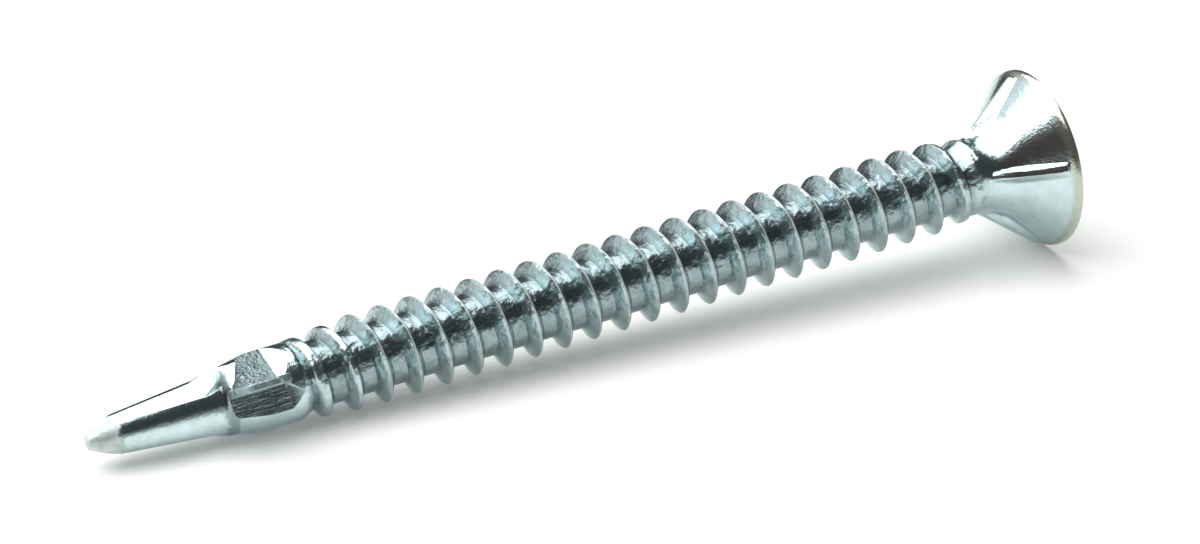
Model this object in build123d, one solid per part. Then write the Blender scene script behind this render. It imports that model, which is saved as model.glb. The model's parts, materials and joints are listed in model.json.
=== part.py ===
from build123d import *
# Countersunk self-drilling wing screw, zinc plated, in one piece of cold-forged steel.
#
# How the real one is made, and how this model follows it:
#   1. a wire blank gets its countersunk head, ribs and cross recess in a header;
#   2. dies pinch the drill point: two flutes, two lands and a conical tip;
#   3. the same dies stamp a pocket on each side of each wing, and squeeze the wing out;
#   4. a single-start, right-handed thread is rolled between the collar and the neck.
#
# The screw is built standing on its tip, axis along +Z, with one wing towards +X. It is then
# laid down as it comes to rest on a table: on its head's rim, on the thread's first full turn
# and on a corner of the wing that points down.
# All sizes are in millimetres and degrees.
from math import asin, atan2, ceil, cos, degrees, radians, sin, sqrt, tan
import os

# --- Overall -----------------------------------------------------------------------------
OVERALL_LENGTH = 51.8
BLANK_DIAMETER = 3.8           # the wire: bare at the collar and at the neck

# --- Countersunk head --------------------------------------------------------------------
HEAD_DIAMETER = 9.0
HEAD_CONE_ANGLE = 90.0         # included
RIM_HEIGHT = 0.2               # land of the rim, before its edge is rounded
RIM_ROUNDING = 0.45
NECK_FILLET = 3.0

# --- Ribs under the head, that cut its seat in the wood ----------------------------------
RIB_COUNT = 4
RIB_ANGLE = 11.5               # first rib, turned from the wing's side
RIB_CREST_WIDTH = 0.27
RIB_HEIGHT_NECK = 0.61         # above the cone, at the cone's foot
RIB_HEIGHT_RIM = 0.14
RIB_STEEP_FOOT = 0.31          # from the crest's middle to the foot of the steep flank
RIB_EASY_FOOT_NECK = 0.58      # the same, of the easy flank, at the cone's foot
RIB_EASY_FOOT_RIM = 0.48
RIB_SKEW = 0.21                # the crest drifts this far towards the easy flank, up to the rim
RIB_INSET = 0.18               # the ribs stop this far inside the rim

# --- Cross recess ------------------------------------------------------------------------
RECESS_SPAN = 5.0              # across two opposite slots at the mouth
RECESS_SLOT = 1.0              # width of a slot
RECESS_DEPTH = 2.8
RECESS_FOOT_SPAN = 2.3         # across two opposite slots at the foot
RECESS_CORE = 2.5              # round middle at the mouth
RECESS_POINT = 0.45            # depth of the conical foot

# --- Thread ------------------------------------------------------------------------------
THREAD_PITCH = 1.6
THREAD_DIAMETER = 4.55
THREAD_ROOT_DIAMETER = 3.2
THREAD_CREST_WIDTH = 0.1
THREAD_FLANK_ANGLE = 60.0      # included
THREAD_START = 10.45           # from the tip: the thread grows out of the collar here
THREAD_RUN_IN = 3.65
THREAD_RUN_OUT = 2.9
THREAD_CREST_AT_WING = 0.86    # first crest on the wing's side, from the thread's start
ROOT_RUN_OUT = 0.6             # length of the cones between root and bare blank
THREAD_TO_CONE = 0.8           # bare blank left before the cone's foot, for the last crest
ROOT_TO_CONE = 1.5             # the root ends this far before the cone's foot

# --- Drill point -------------------------------------------------------------------------
POINT_LENGTH = 1.4             # conical tip, from the apex to the lands
POINT_DIAMETER = 1.96          # across the lands, behind the tip
POINT_BLUNT = 0.76             # across the blunt chisel end
LAND_END = 6.65                # the lands end here, at a shoulder
LAND_END_THICKNESS = 2.76      # across the lands at their end, along the wings
LAND_END_WIDTH = 3.08          # the same, square to the wings
SHOULDER_LENGTH = 0.25
SHOULDER_THICKNESS = 3.62      # behind the step, along the wings
SHOULDER_WIDTH = 3.24
COLLAR_START = 8.6             # the shoulder's flare reaches the bare blank here

# --- Flutes ------------------------------------------------------------------------------
FLUTE_EDGE = 0.48              # cutting edge of a land, above the plane of the axis
FLUTE_WEB_TIP = 0.66           # web between the two cutting faces, at the tip
FLUTE_WEB_END = 0.76           # the same, where the run-out starts
FLUTE_VALLEY = 0.35            # from the plane across the wings to the bottom of the V
FLUTE_HEEL_ANGLE = 100.0       # from the wing's direction to the back edge of a flute
FLUTE_STRAIGHT = 5.95          # length of the straight part, from the apex
FLUTE_TURN = 7.2               # the V has flattened into one plane here
FLUTE_TURN_DISTANCE = 1.6      # from that plane to the axis
FLUTE_END = 8.4                # the run-out leaves the steel here
FLUTE_FACING = 53.0            # the flattened run-out faces this way

# --- Wings and their stamped pockets -----------------------------------------------------
WING_SPAN = 6.1                # over both wings
WING_THICKNESS = 0.4
WING_FRONT = 6.8               # front foot of a wing, from the apex
WING_LENGTH = 3.1              # at the foot
WING_FRONT_SLOPE = 0.35        # how far the front and back edges lean in
WING_BACK_SLOPE = 0.65
WING_CORNER = 0.3              # radius at the wing's outer corners
POCKET_RAMP = 0.7              # length of the ramp behind a pocket's floor

UPPER_POCKET_FACING = 42.0     # the floor on the flute's side faces this way
UPPER_POCKET_REACH = 1.87      # from the axis's plane to the floor's far edge
UPPER_POCKET_FRONT = 6.95      # at the wing
UPPER_POCKET_SKEW = 0.75       # the front edge runs back by this for each millimetre out
UPPER_POCKET_FLOOR_END = 9.35

LOWER_POCKET_FACING = -6.0
LOWER_POCKET_REACH = 1.25
LOWER_POCKET_FRONT = 6.78
LOWER_POCKET_FLOOR_END = 9.7
LOWER_POCKET_CORNER = 9.65     # the ramp's corner at the wing is cut off from here
LOWER_POCKET_CORNER_SLOPE = 1.2

# --- How it lies -------------------------------------------------------------------------
LIE_ROLL = 30.0                # the wing on this side points up from the table by this

# --- Worked out from the sizes above -----------------------------------------------------
BLANK_RADIUS = BLANK_DIAMETER / 2
HEAD_RADIUS = HEAD_DIAMETER / 2
THREAD_RADIUS = THREAD_DIAMETER / 2
ROOT_RADIUS = THREAD_ROOT_DIAMETER / 2
CONE_SLOPE = tan(radians(HEAD_CONE_ANGLE / 2))
RIM_FOOT = OVERALL_LENGTH - RIM_HEIGHT
RIM_EDGE = RIM_FOOT + RIM_ROUNDING * tan(radians(HEAD_CONE_ANGLE / 4))
CONE_FOOT = RIM_FOOT - (HEAD_RADIUS - BLANK_RADIUS) / CONE_SLOPE
NECK_START = CONE_FOOT - NECK_FILLET * tan(radians(HEAD_CONE_ANGLE / 4))
ROOT_END = CONE_FOOT - ROOT_TO_CONE
THREAD_END = CONE_FOOT - THREAD_TO_CONE
OUTSIDE = 1.0                  # cutting tools reach this far out of the steel
THREAD_ROOT_OVERLAP = 0.15     # the ridge is rooted this deep in the core
ENVELOPE_CLEARANCE = 0.25      # from the full crests to the shape that trims the ridge
RIB_BURIED = 0.12              # and a rib this deep in the cone


def polar(radius, angle):
    """A point across the axis; angles run from the wing's side, towards the upper flute."""
    return radius * cos(radians(angle)), -radius * sin(radians(angle))


def half_turn(shape):
    """The same feature on the other side of the axis."""
    return Rotation(0, 0, 180) * shape


def turned(points):
    """A solid of revolution about the screw's axis, from (radius, height) points."""
    outline = Polyline(*points, close=True)
    return revolve(Plane.XZ * make_face(outline), Axis.Z)


def shank_and_head():
    """Collar, thread root, neck, cone and rim in one turned profile."""
    profile = make_face(Polyline(
        (0, COLLAR_START),
        (BLANK_RADIUS, COLLAR_START),
        (BLANK_RADIUS, THREAD_START),
        (ROOT_RADIUS, THREAD_START + ROOT_RUN_OUT),
        (ROOT_RADIUS, ROOT_END - ROOT_RUN_OUT),
        (BLANK_RADIUS, ROOT_END),
        (BLANK_RADIUS, CONE_FOOT),
        (HEAD_RADIUS, RIM_FOOT),
        (HEAD_RADIUS, OVERALL_LENGTH),
        (0, OVERALL_LENGTH),
        close=True,
    ))
    neck = profile.vertices().sort_by_distance((BLANK_RADIUS, CONE_FOOT, 0))[0]
    profile = fillet(neck, NECK_FILLET)
    edge = profile.vertices().sort_by_distance((HEAD_RADIUS, RIM_FOOT, 0))[0]
    profile = fillet(edge, RIM_ROUNDING)
    return revolve(Plane.XZ * profile, Axis.Z)


def drill_body():
    """Round at the tip, oval at the pinched lands and at the swollen shoulder, round again."""
    def oval(thickness, width, height):
        return Plane.XY.offset(height) * Ellipse(thickness / 2, width / 2)

    point = turned([
        (0, 0),
        (POINT_BLUNT / 2, 0),
        (POINT_DIAMETER / 2, POINT_LENGTH),
        (0, POINT_LENGTH),
    ])
    tip = Plane.XY.offset(POINT_LENGTH) * Circle(POINT_DIAMETER / 2)
    land = oval(LAND_END_THICKNESS, LAND_END_WIDTH, LAND_END)
    shoulder = oval(SHOULDER_THICKNESS, SHOULDER_WIDTH, LAND_END + SHOULDER_LENGTH)
    collar = Plane.XY.offset(COLLAR_START) * Circle(BLANK_RADIUS)
    return point + loft([tip, land]) + loft([land, shoulder]) + loft([shoulder, collar])


def thread():
    """A right-handed ridge, swept turn by turn, cut down to the bare blank at both ends."""
    turns = ceil((THREAD_END - THREAD_START) / THREAD_PITCH)
    first_angle = 360 * (1 - THREAD_CREST_AT_WING / THREAD_PITCH)
    buried = ROOT_RADIUS - THREAD_ROOT_OVERLAP
    height = THREAD_RADIUS - buried
    foot = THREAD_CREST_WIDTH / 2 + height * tan(radians(THREAD_FLANK_ANGLE / 2))
    section = Plane(origin=(buried, 0, 0), x_dir=(1, 0, 0), z_dir=(0, 1, 0)) * make_face(Polyline(
        (0, -foot),
        (height, -THREAD_CREST_WIDTH / 2),
        (height, THREAD_CREST_WIDTH / 2),
        (0, foot),
        close=True,
    ))
    turn = sweep(section, path=Helix(THREAD_PITCH, THREAD_PITCH, buried), is_frenet=True)
    turn = Pos(0, 0, THREAD_START) * Rotation(0, 0, first_angle) * turn
    ridge = turn.fuse(*[Pos(0, 0, index * THREAD_PITCH) * turn for index in range(1, turns)])
    return ridge & thread_envelope()


def thread_envelope():
    """The turned shape that the ridge is cut down to at its run-in and run-out."""
    rise = THREAD_RADIUS - BLANK_RADIUS
    run_in = THREAD_RUN_IN / rise
    run_out = THREAD_RUN_OUT / rise
    free = rise + ENVELOPE_CLEARANCE
    sunk = THREAD_PITCH / THREAD_RUN_IN * rise
    return turned([
        (0, THREAD_START - sunk * run_in),
        (BLANK_RADIUS - sunk, THREAD_START - sunk * run_in),
        (BLANK_RADIUS + free, THREAD_START + free * run_in),
        (BLANK_RADIUS + free, THREAD_END - free * run_out),
        (BLANK_RADIUS, THREAD_END),
        (0, THREAD_END),
    ])


def flute():
    """The tool that pinches one flute: a straight V, then a run-out that leaves the steel."""
    tip_radius = POINT_DIAMETER / 2
    end_share = (FLUTE_STRAIGHT - POINT_LENGTH) / (LAND_END - POINT_LENGTH)
    end_radius = tip_radius + (LAND_END_WIDTH / 2 - tip_radius) * end_share

    def vee(radius, web):
        valley = Vector(FLUTE_VALLEY, -web / 2)
        edge = Vector(*polar(radius, degrees(asin(FLUTE_EDGE / radius))))
        heel = Vector(*polar(radius, FLUTE_HEEL_ANGLE))
        return [valley, edge * 2 - valley, (edge + heel) * 2 - valley * 3, heel * 2 - valley]

    def flat(distance):
        middle = Vector(*polar(distance, FLUTE_FACING))
        along = Vector(*polar(BLANK_RADIUS, FLUTE_FACING + 90))
        outwards = Vector(*polar(BLANK_RADIUS, FLUTE_FACING))
        return [middle, middle - along, middle + outwards, middle + along]

    def section(points, height):
        return Pos(0, 0, height) * make_face(Polyline(*[(p.X, p.Y) for p in points], close=True))

    straight_end = section(vee(end_radius, FLUTE_WEB_END), FLUTE_STRAIGHT)
    turn = section(flat(FLUTE_TURN_DISTANCE), FLUTE_TURN)
    straight = loft([section(vee(tip_radius, FLUTE_WEB_TIP), -OUTSIDE), straight_end], ruled=True)
    flattening = loft([straight_end, turn], ruled=True)
    run_out = loft([turn, section(flat(BLANK_RADIUS), FLUTE_END)], ruled=True)
    return straight + flattening + run_out


def wing():
    """A thin fin with sloping ends, set to one side of the plane of the axis."""
    top = WING_SPAN / 2
    back = WING_FRONT + WING_LENGTH
    outline = make_face(Polyline(
        (ROOT_RADIUS / 2, WING_FRONT),
        (BLANK_RADIUS, WING_FRONT),
        (top, WING_FRONT + WING_FRONT_SLOPE),
        (top, back - WING_BACK_SLOPE),
        (BLANK_RADIUS, back),
        (ROOT_RADIUS / 2, back),
        close=True,
    ))
    corners = outline.vertices().group_by(Axis.X)[-1]
    outline = fillet(corners, WING_CORNER)
    return extrude(Plane.XZ * outline, WING_THICKNESS)


def pocket(side, facing, far_edge, front, skew, floor_end, corner, corner_slope):
    """The tool that stamps one pocket: a flat floor and a ramp, within the pocket's outline.

    side is +1 for the flute's side of the wing and -1 for the other."""
    reach = BLANK_RADIUS + OUTSIDE
    far_point = Vector(sqrt(BLANK_RADIUS ** 2 - far_edge ** 2), -side * far_edge, 0)
    floor = far_point.dot(Vector(*polar(1, facing)))
    ramp_slope = POCKET_RAMP / (BLANK_RADIUS - floor)
    profile = make_face(Polyline(
        (floor, LAND_END),
        (floor, floor_end),
        (reach, floor_end + ramp_slope * (reach - floor)),
        (reach, LAND_END),
        close=True,
    ))
    tool = Rotation(0, 0, -facing) * extrude(Plane.XZ * profile, reach, both=True)
    near = -WING_THICKNESS if side > 0 else 0
    outline = make_face(Polyline(
        (near, front),
        (near, corner),
        (-side * reach, corner + corner_slope * reach),
        (-side * reach, front + skew * (reach + near)),
        close=True,
    ))
    return tool & extrude(Plane.YZ * outline, reach)


def rib():
    """One raised rib on the cone: a steep flank, a flat crest and an easy flank.

    It stands highest at the neck and has nearly sunk into the cone at the rim."""
    slant = radians(HEAD_CONE_ANGLE / 2)
    along = Vector(sin(slant), 0, cos(slant))
    out = Vector(cos(slant), 0, -sin(slant))
    cone_foot = Vector(BLANK_RADIUS, 0, CONE_FOOT)
    cone_length = (HEAD_RADIUS - BLANK_RADIUS) / sin(slant)
    crest = RIB_CREST_WIDTH / 2

    def section(distance):
        share = distance / cone_length
        height = RIB_HEIGHT_NECK + (RIB_HEIGHT_RIM - RIB_HEIGHT_NECK) * share
        easy = RIB_EASY_FOOT_NECK + (RIB_EASY_FOOT_RIM - RIB_EASY_FOOT_NECK) * share
        foot = 1 + RIB_BURIED / height
        drift = RIB_SKEW * share
        outline = Polyline(
            (-RIB_BURIED, drift - crest - (RIB_STEEP_FOOT - crest) * foot),
            (height, drift - crest),
            (height, drift + crest),
            (-RIB_BURIED, drift + crest + (easy - crest) * foot),
            close=True,
        )
        return Plane(origin=cone_foot + along * distance, x_dir=out, z_dir=along) * make_face(outline)

    bar = loft([section(-NECK_FILLET / 2), section(cone_length)], ruled=True)
    limit = turned([
        (0, NECK_START),
        (HEAD_RADIUS - RIB_INSET, NECK_START),
        (HEAD_RADIUS - RIB_INSET, RIM_FOOT),
        (0, RIM_FOOT),
    ])
    return bar & limit


def cross_recess():
    """The tool that punches the drive: two crossed tapered blades round a conical core."""
    top = OVERALL_LENGTH
    foot = top - RECESS_DEPTH
    blade = extrude(Plane.XZ * make_face(Polyline(
        (-RECESS_SPAN / 2, top),
        (-RECESS_FOOT_SPAN / 2, foot),
        (RECESS_FOOT_SPAN / 2, foot),
        (RECESS_SPAN / 2, top),
        close=True,
    )), RECESS_SLOT / 2, both=True)
    core = turned([
        (0, foot - RECESS_POINT),
        (RECESS_FOOT_SPAN / 2, foot),
        (RECESS_CORE / 2, top),
        (0, top),
    ])
    return blade + Rotation(0, 0, 90) * blade + core


def standing_screw():
    """All of it, standing on its tip."""
    steel = shank_and_head() + drill_body()
    cutter = flute()
    steel = steel - cutter - half_turn(cutter)
    fin = wing()
    upper = pocket(1, UPPER_POCKET_FACING, UPPER_POCKET_REACH, UPPER_POCKET_FRONT,
                   UPPER_POCKET_SKEW, UPPER_POCKET_FLOOR_END, THREAD_START, 0)
    lower = pocket(-1, LOWER_POCKET_FACING, LOWER_POCKET_REACH, LOWER_POCKET_FRONT,
                   0, LOWER_POCKET_FLOOR_END, LOWER_POCKET_CORNER, LOWER_POCKET_CORNER_SLOPE)
    for tool in (upper, lower):
        steel = steel - tool - half_turn(tool)
    steel = steel + fin + half_turn(fin)
    for index in range(RIB_COUNT):
        steel = steel + Rotation(0, 0, RIB_ANGLE + index * 360 / RIB_COUNT) * rib()
    steel = steel - cross_recess()
    return steel + thread()


def laid_down(screw):
    """Head's rim and first full turn on the table, the middle of its box over the origin.

    The wing on the far side just touches the table too, and keeps the screw from rolling."""
    first_full_turn = THREAD_START + THREAD_RUN_IN
    tilt = atan2(HEAD_RADIUS - THREAD_RADIUS, RIM_EDGE - first_full_turn)
    roll = radians(LIE_ROLL)
    axis = (cos(tilt), 0, sin(tilt))
    wing_side = (-sin(roll) * sin(tilt), -cos(roll), sin(roll) * cos(tilt))
    lying = Plane(origin=(0, 0, 0), x_dir=wing_side, z_dir=axis).location * screw
    box = lying.bounding_box()
    return Pos(-box.center().X, -box.center().Y, -box.min.Z) * lying


screw = laid_down(standing_screw())
screw.label = "screw"
os.makedirs("parts", exist_ok=True)
export_step(screw, "parts/screw.step")
print("solids", len(screw.solids()), "volume", round(screw.volume, 2), "mm3")
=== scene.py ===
# %% [markdown]
# # A zinc plated wing screw
# A self-drilling countersunk screw for fixing timber to steel. It is one piece of carbon steel:
# the head and its ribs are cold-headed, the drill point and the two wings are pinched between
# dies, the thread is rolled, and the whole is then hardened and plated with bright zinc. It
# could be put together from primitives, but real forging leaves no joints between them. So the
# turned and rolled body is computed as one mesh, the forged forms are pressed into it with
# booleans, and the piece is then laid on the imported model, whose frame is loaded first.

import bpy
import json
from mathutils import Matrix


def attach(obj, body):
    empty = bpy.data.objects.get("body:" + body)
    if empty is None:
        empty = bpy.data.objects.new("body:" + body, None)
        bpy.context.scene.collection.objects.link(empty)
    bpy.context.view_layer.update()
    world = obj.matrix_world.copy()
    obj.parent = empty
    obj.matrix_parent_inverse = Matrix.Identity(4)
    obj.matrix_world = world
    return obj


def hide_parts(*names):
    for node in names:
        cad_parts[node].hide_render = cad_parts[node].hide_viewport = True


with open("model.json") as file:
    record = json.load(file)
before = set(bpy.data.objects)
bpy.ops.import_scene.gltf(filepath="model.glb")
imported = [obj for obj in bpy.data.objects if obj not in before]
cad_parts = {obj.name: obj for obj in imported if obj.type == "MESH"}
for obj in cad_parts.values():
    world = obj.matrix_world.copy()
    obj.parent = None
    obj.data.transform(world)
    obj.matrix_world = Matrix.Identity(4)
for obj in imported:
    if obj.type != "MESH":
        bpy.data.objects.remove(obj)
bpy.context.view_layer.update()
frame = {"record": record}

import bmesh
import bpy
import json
import math
import numpy as np
from mathutils import Matrix, Vector

# %% [markdown]
# ## Measures
# The screw is drawn standing on its tip, in millimetres: the axis is Z, the tip is at zero and
# X runs through one wing. A size could be written where it is used, but the wire, the thread,
# the drill point and the head meet each other, so what they share is named once, here.

# %% Measures
MM = 0.001                     # in metres
LENGTH = 51.8                  # over all
BLANK = 1.9                    # radius of the wire
ROOT, CREST = 1.6, 2.275       # radii of the thread
PITCH = 1.6
THREAD_START, THREAD_END = 10.45, 48.2
POINT_LENGTH, POINT_RADIUS = 1.4, 0.98
LAND_END = 6.65                # the drill's lands stop here, at a step
HEAD, RIM_FOOT = 4.5, 51.6     # radius of the head, and where its cone meets the rim
CONE_FOOT = RIM_FOOT - (HEAD - BLANK)


def polar(radius, degrees):
    """Across the axis; the angle runs from the wing towards the upper flute."""
    turn = math.radians(degrees)
    return np.array([radius * math.cos(turn), -radius * math.sin(turn)])


def soft_max(a, b, blend):
    """The larger of two surfaces, with a rounded inside corner."""
    share = np.clip(0.5 + 0.5 * (a - b) / blend, 0, 1)
    return b + (a - b) * share + blend * share * (1 - share)


def soft_min(a, b, blend):
    """The smaller of two surfaces, with a rounded outside corner."""
    return -soft_max(-a, -b, blend)


print("thread turns", round((THREAD_END - THREAD_START) / PITCH, 1), "cone foot", round(CONE_FOOT, 3))

# %% [markdown]
# ## Blank and drill point
# The wire is round at the tip, oval where the dies pinched the lands, swollen at the shoulder
# behind the step, and round again at the collar. A turned profile would be the quick way, but
# it makes no ovals, so two profiles are given, along the wings and across them, with an ellipse
# between. Forging leaves no sharp step: each change is eased over about a tenth of a millimetre.

# %% Blank
EASING, EASED_FROM = 0.07, 0.8 # to each side, and the height from which it is full
STATIONS = [
    # height, radius along the wings, radius across them
    (0, 0.26, 0.26),
    (0.05, 0.38, 0.38),
    (0.4, 0.56, 0.56),
    (POINT_LENGTH, POINT_RADIUS, POINT_RADIUS),
    (LAND_END, 1.38, 1.54),
    (6.9, 1.81, 1.62),         # shoulder
    (8.6, BLANK, BLANK),       # collar
    (THREAD_START, BLANK, BLANK),
    (11.05, ROOT, ROOT),
    (46.9, ROOT, ROOT),
    (47.5, BLANK, BLANK),      # neck
]


def blank_radius(height, angle):
    """Radius of the unthreaded body."""
    heights, *profiles = np.array(STATIONS).T
    ease = EASING * np.clip(height / EASED_FROM, 0, 1)
    around = [height + ease * step for step in np.linspace(-1, 1, 9)]
    along, across = (np.mean([np.interp(h, heights, p) for h in around], axis=0) for p in profiles)
    return along * across / np.hypot(across * np.cos(angle), along * np.sin(angle))


for station in (POINT_LENGTH, LAND_END, THREAD_START):
    radii = [round(float(blank_radius(station, turn)), 3) for turn in (0, math.pi / 2)]
    print("blank at", station, "mm: radius along and across the wings", radii)

# %% [markdown]
# ## Rolled thread
# The thread is single start, right-handed and sixty degrees between its flanks. A ridge could be
# swept along a helix, but its edges would be sharp and its ends blunt, and a rolled thread has
# neither. So the ridge is a formula of height and angle: the distance from the crest line gives
# the flank, soft minima and a soft maximum round the crest and the root, and waves of about a
# hundredth of a millimetre let the crest line wander. The ridge grows out of the collar over
# about two turns and sinks back into the bare neck under the head.

# %% Thread
CREST_AT_WING = THREAD_START + 0.86        # height of the first crest at the wing
CREST_HALF = 0.04                          # half the width of the crest
FLANK = 1 / math.tan(math.radians(30))     # fall of a flank for each millimetre along the axis
RUN_IN, RUN_OUT = 3.65, 2.9                # lengths over which the ridge grows and sinks
DIVE, DIVE_START = 4, THREAD_START - 0.5   # nearer the tip, the ridge dives under the wire
CREST_ROUNDING, RUN_ROUNDING, ROOT_ROUNDING = 0.06, 0.04, 0.07
WAVES = [
    # waves round the axis, radians per millimetre along it, size, phase
    (3.0, 0.7, 0.006, 0.3),
    (7.0, 1.9, 0.005, 1.7),
    (17.0, 0.4, 0.004, 4.1),
]


def crest_offset(height, angle):
    """How far above the middle of the nearest crest a point lies."""
    rise = height - CREST_AT_WING - PITCH * angle / math.tau
    return (rise + PITCH / 2) % PITCH - PITCH / 2


def surface_radius(height, angle):
    """Radius of the body with its thread."""
    flank = CREST - (np.abs(crest_offset(height, angle)) - CREST_HALF) * FLANK
    wander = sum(size * np.sin(n * angle + f * height + phase) for n, f, size, phase in WAVES)
    ridge = soft_min(flank, CREST + wander, CREST_ROUNDING)
    grow = BLANK + (height - THREAD_START) * (CREST - BLANK) / RUN_IN
    sink = BLANK + (THREAD_END - height) * (CREST - BLANK) / RUN_OUT
    ridge = soft_min(ridge, np.minimum(grow, sink), RUN_ROUNDING)
    ridge = ridge - DIVE * np.maximum(DIVE_START - height, 0)
    return soft_max(blank_radius(height, angle), ridge, ROOT_ROUNDING)


one_turn = np.linspace(LENGTH / 2, LENGTH / 2 + PITCH, 9)
print("radius over one pitch", [round(float(r), 3) for r in surface_radius(one_turn, 0.0)])

# %% [markdown]
# ## Head and ribs
# Under the rim the cone carries four ribs that ream the seat in the wood. Each has a steep and
# an easy flank, stands highest at the neck and nearly sinks into the cone at the rim. Wedges
# joined by booleans would do, but their feet would be sharp where the real ones run softly into
# the cone, so a rib is a height that is added to the cone. The columns of the mesh crowd
# together at the ribs, which keeps their edges crisp.

# %% Head
COLUMNS, RIBS = 128, 4                     # around the axis
HALF_CONE, SLANT = math.radians(45), math.sqrt(0.5)
CONE_LENGTH = (HEAD - BLANK) / SLANT
RIB_ANGLE = math.radians(11.5)             # from the wing to the first rib
RIB_CREST = 0.135                          # half the width of a rib's top
RIB_STEEP, RIB_EASY = 0.31, (0.58, 0.48)   # feet of the flanks, the easy one at neck and rim
RIB_HEIGHT, RIB_DRIFT = (0.61, 0.14), 0.21 # at neck and rim; sideways, up to the rim
RIB_LEAN = 0.35                            # the top is worn down towards the steep flank
RIB_EDGE, RIB_TOP_EDGE, RIB_FOOT = 0.03, 0.05, 0.03   # how much each is rounded
RIB_END, RIB_FADE, RIB_SUNK = 3.22, 0.2, 0.2          # where and how fast it sinks, and how deep
STEEP_COLUMNS = (1.5, 1.05, 0.95, 0.66, 0.33, 0.05)   # shares of a flank's or the top's width
TOP_COLUMNS, EASY_COLUMNS = (-0.6, 0, 0.6), (0.03, 0.33, 0.66, 0.95, 1.05, 1.3)
COLUMNS_TURN = -0.3                        # before this place the columns run straight


def rib_measures(distance):
    """Sideways drift, foot of the easy flank and height of a rib, at a place along the cone."""
    share = np.minimum(distance / CONE_LENGTH, 1)
    easy = RIB_EASY[0] + (RIB_EASY[1] - RIB_EASY[0]) * share
    return RIB_DRIFT * share, easy, RIB_HEIGHT[0] + (RIB_HEIGHT[1] - RIB_HEIGHT[0]) * share


def rib_lines(distance):
    """Sideways places of the columns across a rib, from the steep foot to the easy one."""
    drift, easy, _ = rib_measures(distance)
    steep_side = [drift - RIB_CREST - (RIB_STEEP - RIB_CREST) * s for s in STEEP_COLUMNS]
    top = [drift + RIB_CREST * s for s in TOP_COLUMNS]
    easy_side = [drift + RIB_CREST + (easy - RIB_CREST) * s for s in EASY_COLUMNS]
    return np.array(steep_side + top + easy_side)


def rib_height(distance, sideways):
    """How far a rib stands off the cone; past its end it lies under the cone."""
    drift, easy, top = rib_measures(distance)
    place = sideways - drift
    steep_side = top * (place + RIB_STEEP) / (RIB_STEEP - RIB_CREST)
    easy_side = top * (easy - place) / (easy - RIB_CREST)
    worn_top = top + RIB_LEAN * (place - RIB_CREST)
    height = soft_min(soft_min(steep_side, easy_side, RIB_EDGE), worn_top, RIB_TOP_EDGE)
    fade = np.clip((distance - RIB_END) / RIB_FADE, 0, 1)
    return height * (1 - fade) - RIB_SUNK * fade


def column_angles(distance):
    """Angles of the mesh's columns at a place along the cone."""
    distance = max(distance, COLUMNS_TURN)
    sector, radius = math.tau / RIBS, BLANK + distance * SLANT
    rib = np.arctan(rib_lines(distance) / radius)
    free = COLUMNS // RIBS - len(rib)
    rest = np.linspace(rib[-1], sector + rib[0], free + 2)[1:-1]
    one_sector = np.concatenate([rib, rest]) + RIB_ANGLE
    return np.concatenate([one_sector + sector * rib_number for rib_number in range(RIBS)])


print("columns", len(column_angles(0.0)), "of which on each rib", len(rib_lines(0.0)))

# %% [markdown]
# ## Profile of the head
# From the bare neck a fillet leads into the cone, the cone ends in a thin rounded rim, and the
# top is flat. The outline could be drawn as a curve and spun, but the rings below need their
# radius and height at each step, so it is a plain list of both.

# %% Profile
NECK_FILLET, RIM_ROUNDING = 3.0, 0.45
NECK_LENGTH = NECK_FILLET * math.tan(HALF_CONE / 2)    # of the fillet, below the cone's foot
RIM_LENGTH = RIM_ROUNDING * math.tan(HALF_CONE / 2)    # of the rounding, above the cone's end
TOP_EDGE = 0.012                                       # the broken edge of the flat top
TOP_RADII = (4.3, 3.8, 3.2, 2.6, 2.0, 1.4, 0.8, 0.3)


def head_profile():
    """Radius and height of the head, from the neck over the cone and the rim to the middle."""
    points = [(BLANK, CONE_FOOT - NECK_LENGTH)]
    for turn in np.linspace(0, HALF_CONE, 13)[1:]:
        out, up = NECK_FILLET * (1 - math.cos(turn)), NECK_FILLET * math.sin(turn)
        points.append((BLANK + out, CONE_FOOT - NECK_LENGTH + up))
    start, stop = points[-1][0], HEAD - RIM_LENGTH * SLANT
    for share in np.linspace(0, 1, 26)[1:]:
        radius = start + (stop - start) * share
        points.append((radius, CONE_FOOT + radius - BLANK))
    for turn in np.linspace(HALF_CONE, 0, 9)[1:]:
        back, down = RIM_ROUNDING * (1 - math.cos(turn)), RIM_ROUNDING * math.sin(turn)
        points.append((HEAD - back, RIM_FOOT + RIM_LENGTH - down))
    points += [(HEAD, LENGTH - TOP_EDGE), (HEAD - TOP_EDGE, LENGTH)]
    return points + [(radius, LENGTH) for radius in TOP_RADII]


print("head profile", len(head_profile()), "points, from", round(head_profile()[0][1], 3), "mm")

# %% [markdown]
# ## The turned and rolled mesh
# Rings of vertices run from the tip to the top. Level rings all the way would cut each crest
# slantwise and leave it jagged, so along the thread they become one long helical band whose
# rows follow the crest, and the ridge comes out as clean as a rolled one.

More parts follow.
